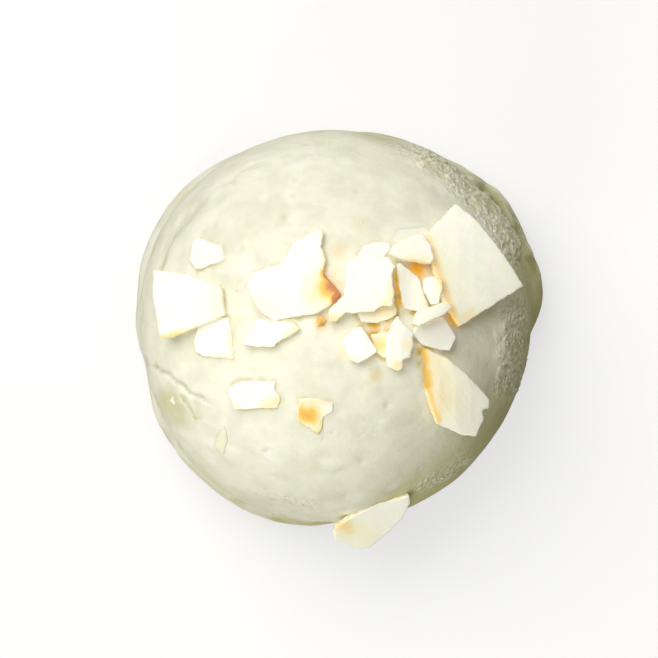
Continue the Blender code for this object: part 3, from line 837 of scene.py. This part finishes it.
def shapeScoop(form):
    made, middle = layScoop(form)
    mesh = made.data
    points, normals = readPoints(mesh), readNormals(mesh)
    still = smooth(0.0, form["stillFoot"], points[:, 2])
    up = smooth(-0.2, 0.25, normals[:, 2])               # what can be seen from above
    crooked = crookedPlan(points)
    frost = frostMask(points, form)

    lift, falls = softRelief(points, middle, form)
    carved, hollow, milk = pathRelief(points, crooked, up, form)
    lift += carved
    knobs, onLedge = ledgeKnobs(points, form["ledge"])
    lift += form["ledge"]["rise"] * mm * knobs * onLedge
    # painted shade between the ledge knobs, painted highlight on their tops
    hollow = np.maximum(hollow, 0.8 * onLedge * smooth(-0.05, -0.5, knobs))
    milk = np.maximum(milk, 0.9 * onLedge * smooth(-0.1, 0.4, knobs))
    air = form["airPits"]
    crowds = 0.35 + smooth(-0.1, 0.5, noiseAt(points, air["crowds"], 22))
    lift -= air["depth"] * mm * smooth(0.38, 0.62, noiseAt(points, air["size"], 21)) * crowds
    crumbs = frostCrumbs(points, frost, form["crumbs"])
    lift += form["crumbs"]["rise"] * mm * crumbs * frost
    # painted shade between the frost crumbs
    hollow = np.maximum(hollow, 0.26 * frost * smooth(0.05, -0.25, crumbs))

    wet = sideShadeMask(points, crooked, normals, frost, form)
    # painted golden glow beside and among the chips
    stain = np.zeros(len(points))
    for x, y, size, amount in form["chipGlows"]:
        stain = np.maximum(stain, amount * up * spotMask(crooked, x, y, size))
    upper = np.nonzero(falls < 1.5)[0]
    creep = nearness(points, upper, treeOf(otherNodes), form["creep"]["reach"])
    ragged = 0.4 + 0.6 * smooth(-0.4, 0.5, noiseAt(points, 1.8 * mm, 31))
    lift += form["creep"]["rise"] * mm * creep * ragged
    contact = contactMask(points, creep, form["contact"])

    points = points + normals * (lift * still)[:, None]
    points[:, 2] = np.maximum(points[:, 2], 0)
    writePoints(mesh, points)
    patches = smooth(0.05, 0.45, noiseAt(points, 3.4 * mm, 51)) * smooth(-0.3, 0.25, noiseAt(points, 11 * mm, 52))
    milk = np.maximum(milk, 0.8 * patches) * (1 - frost) * (1 - 0.75 * wet)
    # painted highlight on the tops of the frost crumbs
    milk = np.maximum(milk, 0.9 * frost * smooth(-0.05, 0.2, crumbs))
    storeMasks(mesh, hollow=hollow * form["creaseShadeTint"], frost=frost, stain=stain, wet=wet, contact=contact, milk=milk)
    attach(made, "root")
    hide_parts(form["node"])
    return made, points, frost


iceCreamScoop, scoopPoints, scoopFrost = shapeScoop(scoop)
print("ice cream shaped")


frostGrains = {
    "count": 420,
    "size": (0.10, 0.24),
    "sunk": 0.85,
    "seed": 11,
    # the grains carry a little painted highlight and painted side shade
    "masks": {"hollow": 0.0, "frost": 0.1, "stain": 0.0, "milk": 0.2, "wet": 0.3, "contact": 0.0},
}


def unitBlob():
    # a ball of twenty faces: every three corners that are next to each other make one
    golden = (1 + math.sqrt(5)) / 2
    corners = np.array([np.roll((0, a, b * golden), k) for k in range(3) for a in (-1, 1) for b in (-1, 1)])
    faces = []
    for three in combinations(range(12), 3):
        spots = corners[list(three)]
        if np.linalg.norm(spots - np.roll(spots, 1, 0), axis=1).max() < 2.1:
            faces.append(three if np.linalg.det(spots) > 0 else three[::-1])
    return corners / math.hypot(1, golden), np.array(faces)


def scatterGrains(form):
    chance = np.random.default_rng(form["seed"])
    shape, faces = unitBlob()
    weight = scoopFrost**1.5
    picks = chance.choice(len(scoopPoints), form["count"], replace=False, p=weight / weight.sum())
    normals = readNormals(iceCreamScoop.data)
    allPoints, allFaces = [], []
    for n, k in enumerate(picks):
        size = mm * (form["size"][0] + (form["size"][1] - form["size"][0]) * chance.random() ** 2)
        turn = Matrix.Rotation(chance.random() * 6.28, 3, Vector(chance.normal(size=3)))
        stretch = chance.uniform(0.7, 1.3, 3)
        blob = (shape * stretch) @ np.array(turn)
        blob *= (1 + 0.6 * noiseAt(blob + n, 0.7))[:, None]
        centre = scoopPoints[k] + normals[k] * size * (0.5 - form["sunk"])
        allPoints.append(centre + blob * size)
        allFaces.append(faces + n * len(shape))
    made = newObject("frostGrains", np.vstack(allPoints), np.vstack(allFaces).tolist(), iceCream)
    storeMasks(made.data, **form["masks"])
    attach(made, "root")
    return made


scatterGrains(frostGrains)
print("frost grains scattered")


# fibre: bearing of the fibres, seen from above. toast: patches from one place to another on the chip
# (0 to 1 across and up its box), how far each reaches in mm, and how strong it is, 0 to 1.
chips = {
    "corner_shard": {"fibre": 62, "toast": [
        ((0.0, 0.72), (0.3, 0.02), 1.1, 0.36), ((0.05, 0.62), (0.2, 0.3), 3.0, 0.08),
        ((0.2, 0.13), (0.29, 0.03), 0.8, 0.7), ((0.0, 0.52), (0.06, 0.38), 0.9, 0.6),
        ((0.3, 0.0), (0.45, 0.1), 1.4, 0.2),
    ]},
    "long_blade": {"fibre": -58, "toast": [
        ((0.02, 0.97), (0.1, 0.55), 1.3, 0.68), ((0.1, 0.55), (0.26, 0.2), 1.0, 0.45),
        ((0.12, 0.85), (0.3, 0.4), 3.4, 0.22),
    ]},
    "wide_wing": {"fibre": 8, "toast": [
        ((0.86, 0.50), (1.0, 0.30), 1.1, 1.3), ((1.0, 0.30), (0.92, 0.24), 1.0, 1.2),
        ((0.84, 0.98), (0.86, 0.6), 0.9, 0.35), ((0.88, 0.38), (0.97, 0.33), 2.2, 0.98),
        ((0.78, 0.3), (0.9, 0.42), 3.2, 0.28), ((0.1, 0.2), (0.45, 0.25), 1.8, 0.06),
    ]},
    "left_shard": {"fibre": 12, "toast": [
        ((0.97, 0.25), (1.0, 0.8), 3.0, 0.17), ((0.1, 0.0), (0.95, 0.22), 0.6, 0.42),
    ]},
    "rim_blade": {"fibre": 35, "toast": [
        ((0.0, 0.5), (0.18, 0.4), 1.6, 0.36), ((0.1, 0.4), (0.4, 0.3), 2.4, 0.12),
    ]},
    "crown_shard": {"fibre": 70, "toast": [
        ((0.0, 0.05), (0.2, 0.0), 1.1, 0.32), ((0.85, 0.2), (1.0, 0.6), 0.8, 0.18),
    ]},
    "back_sliver": {"fibre": 25, "toast": [((0.5, 0.0), (1.0, 0.2), 1.0, 0.2)]},
    "back_triangle": {"fibre": 15, "toast": [((0.5, 0.0), (0.7, 0.0), 1.4, 0.35)], "lilac": 0.12},
    "narrow_slip": {"fibre": 80, "toast": [((0.9, 0.2), (1.0, 0.7), 0.7, 0.35)], "lilac": 0.5},
    "small_tab": {"fibre": 70, "toast": [((0.8, 0.9), (1.0, 0.6), 0.8, 0.4)]},
    "boat_chip": {"fibre": 20, "toast": [((0.9, 1.0), (1.0, 0.8), 0.9, 0.25)]},
    "grey_slab": {"fibre": 10, "lilac": 0.75},
    "bright_square": {"fibre": 35, "toast": [((0.0, 0.2), (0.3, 0.0), 0.8, 0.2)]},
    "leaf_chip": {"fibre": 75, "toast": [
        ((0.2, 0.0), (0.5, 0.1), 1.0, 0.28), ((0.8, 0.5), (1.0, 0.3), 0.7, 0.2),
    ], "lilac": 0.05},
    "under_slip": {"fibre": 0, "toast": [((0.5, 0.5), (1.0, 0.5), 2.0, 0.35)], "lilac": 0.3},
    "under_nib": {"fibre": 50, "toast": [((0.0, 0.5), (1.0, 0.5), 1.6, 0.45)]},
    "tucked_square": {"fibre": 80, "toast": [
        ((1.0, 0.1), (0.95, 0.6), 1.0, 0.38), ((0.4, 0.0), (0.9, 0.05), 0.8, 0.2),
    ]},
    "small_fan": {"fibre": 15, "toast": [((0.7, 0.0), (1.0, 0.3), 1.0, 0.18)]},
    "low_wedge": {"fibre": 5, "toast": [((0.8, 0.3), (1.0, 0.8), 1.2, 0.22)]},
    "low_block": {"fibre": 5, "toast": [((0.7, 0.1), (0.95, 0.3), 1.1, 0.28), ((0.0, 0.1), (0.2, 0.0), 1.0, 0.15)]},
    "toasted_nib": {"fibre": 40, "toast": [
        ((0.1, 0.55), (0.35, 0.5), 1.8, 0.72), ((0.5, 0.1), (0.7, 0.3), 1.4, 0.34),
        ((0.3, 0.8), (0.8, 0.9), 1.3, 0.22),
    ]},
    "sunken_seed_flake": {"fibre": 60, "toast": [
        ((0.5, 0.5), (0.6, 0.6), 3.0, 0.25),
    ], "veil": 0.75, "soften": 90, "sink": 0.22},
    "sunken_flake": {"fibre": 10, "veil": 1.0, "soften": 30, "sink": 0.35},
    "sunken_pale_flake": {"fibre": 20, "veil": 1.0, "soften": 60, "sink": 0.5},
    "back_veil": {"fibre": 15, "lilac": 0.1, "veil": 0.6, "soften": 30, "sink": 0.1},
}
chipCut = {"voxel": 0.16 * mm, "smoothing": 2, "fibreRise": 0.014, "edgeWear": 0.26, "wave": 0.09, "rimToast": 0.17}


def fineCopy(nodeName, voxel, material, rounds):
    # an even, fine mesh of one CAD piece, its edges rounded off by so many rounds of smoothing
    name = camelCase(nodeName)
    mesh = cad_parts[nodeName].data.copy()
    mesh.materials.clear()
    rough = place(name + "Rough", mesh)
    remesh = rough.modifiers.new("even", "REMESH")
    remesh.mode = "VOXEL"
    remesh.voxel_size = voxel
    fine = bpy.data.meshes.new_from_object(rough.evaluated_get(bpy.context.evaluated_depsgraph_get()))
    bpy.data.objects.remove(rough)
    bpy.data.meshes.remove(mesh)
    fine.name = name
    fine.materials.append(material)
    smoothFaces(fine)
    return place(name, fine), fine, relax(readPoints(fine), readEdges(fine), rounds)


def flatWay(points):
    # the way a chip faces: the thinnest direction of its points, pointing up
    centred = points - points.mean(axis=0)
    way = np.linalg.eigh(centred.T @ centred)[1][:, 0]
    return way if way[2] > 0 else -way


def cutChip(name, form, order):
    soften = form.get("soften", chipCut["smoothing"])
    made, mesh, points = fineCopy(name, chipCut["voxel"], coconutFlesh, soften)
    points[:, 2] -= form.get("sink", 0.0) * mm
    writePoints(mesh, points)
    normals = readNormals(mesh)
    face = flatWay(points)
    edge = 1 - smooth(0.35, 0.8, np.abs(normals @ face))
    bearing = math.radians(form["fibre"])
    plan = inPlan(points)
    along = plan @ np.array([math.cos(bearing), math.sin(bearing)])
    across = plan @ np.array([-math.sin(bearing), math.cos(bearing)])
    lay = np.stack([across / 0.5, along / 6.0, points[:, 2] / mm / 2.0], axis=1)
    fibres = np.array([noise.noise(Vector(p) + Vector((order * 3.7, 0, 0))) for p in lay])
    lift = chipCut["fibreRise"] * mm * fibres * (1 - edge)
    lift += chipCut["wave"] * mm * noiseAt(points, 3.2 * mm, order + 40) * (1 - edge)
    chipping = noiseAt(points, 1.1 * mm, order + 60) + 0.6 * noiseAt(points, 0.45 * mm, order + 61)
    lift += chipCut["edgeWear"] * mm * np.minimum(chipping, 0.3) * edge
    points = points + normals * lift[:, None]
    writePoints(mesh, points)

    low, high = np.array(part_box(name))[:, :2] / mm
    wander = sidewaysNoise(points, 1.5 * mm, order + 80)
    toast = np.zeros(len(points))
    for start, end, reach, amount in form.get("toast", ()):
        path = [low + (high - low) * np.array(spot) for spot in (start, end)]
        distance = pathField(inPlan(points) + 0.4 * wander, path)[0]
        toast = np.maximum(toast, amount * np.exp(-(distance / reach) ** 2))
    toast = np.maximum(toast, chipCut["rimToast"] * edge)
    storeMasks(mesh, toast=toast, lilac=form.get("lilac", 0.0), veil=form.get("veil", 0.0))
    storeMasks(mesh, across=across / fibreSpan + 0.5, along=along / fibreSpan + 0.5)
    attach(made, "root")
    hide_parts(name)
    return made


chipPieces = [cutChip(name, form, order) for order, (name, form) in enumerate(chips.items())]
print("chips cut:", len(chipPieces), "with", sum(len(c.data.polygons) for c in chipPieces), "faces")


crumbs = {
    "gold_crumb": {"toast": 0.82, "dark": (0.6, 0.3), "veil": 0.0},
    "heap_crumb": {"toast": 0.30, "dark": (0.3, 0.3), "veil": 0.7},
    "upper_crumb": {"toast": 0.14, "dark": (0.5, 0.2), "veil": 0.75},
    "back_crumb": {"toast": 0.16, "dark": (0.5, 0.5), "veil": 0.75},
    "side_crumb": {"toast": 0.14, "dark": (0.5, 0.5), "veil": 0.95},
    "low_crumb": {"toast": 0.06, "dark": (0.4, 0.4), "veil": 0.8},
    "left_crumb": {"toast": 0.10, "dark": (0.6, 0.3), "veil": 0.8},
}
crumbCut = {"voxel": 0.11 * mm, "smoothing": 6, "lumps": 0.09}


def cutCrumb(name, form, order):
    made, mesh, points = fineCopy(name, crumbCut["voxel"], toastedCrumb, crumbCut["smoothing"])
    foot = points[:, 2].min()
    points[:, 2] = foot + (points[:, 2] - foot) * (1 - 0.7 * form["veil"])
    writePoints(mesh, points)
    lumps = noiseAt(points, 0.5 * mm, order + 90) + 0.5 * noiseAt(points, 0.22 * mm, order + 91)
    points = points + readNormals(mesh) * (crumbCut["lumps"] * mm * lumps)[:, None]
    writePoints(mesh, points)
    low, high = np.array(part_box(name))[:, :2] / mm
    spot = low + (high - low) * np.array(form["dark"])
    distance = np.linalg.norm(inPlan(points) - spot, axis=1)
    toast = form["toast"] * (0.55 + 0.6 * np.exp(-(distance / 0.5) ** 2))
    storeMasks(mesh, toast=toast, veil=form["veil"])
    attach(made, "root")
    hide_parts(name)
    return made


crumbPieces = [cutCrumb(name, form, order) for order, (name, form) in enumerate(crumbs.items())]
print("crumbs cut:", len(crumbPieces))


# the floor glows a little for the eye only, so it stays pale without lighting the underside
stage = {"size": 1.2, "paint": (0.40, 0.392, 0.35, 1), "glowColour": (0.585, 0.59, 0.625, 1), "glow": 1.0}


def makeFloor(form):
    half = form["size"] / 2
    material, tree, shader = startMaterial("floorPaint", {"Roughness": 0.9, "Specular IOR Level": 0.1})
    shader.inputs["Base Color"].default_value = form["paint"]
    shader.inputs["Emission Color"].default_value = form["glowColour"]
    seen = tree.nodes.new("ShaderNodeLightPath")
    glow = mathNode(tree, "MULTIPLY", seen.outputs["Is Camera Ray"], form["glow"])
    tree.links.new(glow, shader.inputs["Emission Strength"])
    corners = [(-half, -half, 0), (half, -half, 0), (half, half, 0), (-half, half, 0)]
    floor = newObject("floor", corners, [(0, 1, 2, 3)], material)
    floor.location.z = -0.05 * mm


lamps = {
    "window": {"bearing": 130, "height": 56, "away": 0.6, "size": 0.52, "power": 3.0, "colour": (1.0, 0.995, 0.985)},
    "lowFill": {"bearing": 246, "height": 22, "away": 0.6, "size": 0.36, "power": 1.8, "colour": (1.0, 1.0, 0.97)},
    "backFill": {"bearing": 62, "height": 26, "away": 0.6, "size": 0.36, "power": 0.45, "colour": (1.0, 1.0, 0.95)},
    "ceiling": {"bearing": 90, "height": 84, "away": 0.8, "size": 0.60, "power": 1.4, "colour": (1.0, 1.0, 0.97)},
}
sky = {"colour": (1.0, 0.88, 0.26), "strength": 0.085}


def makeLamp(name, form):
    light = bpy.data.lights.new(name, "AREA")
    light.shape = "DISK"
    light.size = form["size"]
    light.energy = form["power"]
    light.color = form["colour"]
    lamp = place(name, light)
    bearing, height = math.radians(form["bearing"]), math.radians(form["height"])
    way = Vector((math.cos(bearing) * math.cos(height), math.sin(bearing) * math.cos(height), math.sin(height)))
    aim = Vector((0, 0, 0.03))
    lamp.location = aim + way * form["away"]
    lamp.rotation_euler = way.to_track_quat("Z", "Y").to_euler()


def makeSky(form):
    world = bpy.data.worlds.new("room")
    world.use_nodes = True
    back = world.node_tree.nodes["Background"]
    back.inputs["Color"].default_value = (*form["colour"], 1)
    back.inputs["Strength"].default_value = form["strength"]
    bpy.context.scene.world = world


camera = {"aim": (-1.5 * mm, -0.2 * mm), "waist": 18 * mm, "away": 0.6, "across": 112.3 * mm, "sensor": 36}


def makeCamera(form):
    data = bpy.data.cameras.new("camera")
    data.sensor_width = form["sensor"]
    data.lens = form["sensor"] / (form["across"] / form["away"])
    made = place("camera", data)
    made.location = (*form["aim"], form["waist"] + form["away"])
    bpy.context.scene.camera = made


makeFloor(stage)
for name, form in lamps.items():
    makeLamp(name, form)
makeSky(sky)
makeCamera(camera)
bpy.context.scene.view_settings.view_transform = "Standard"
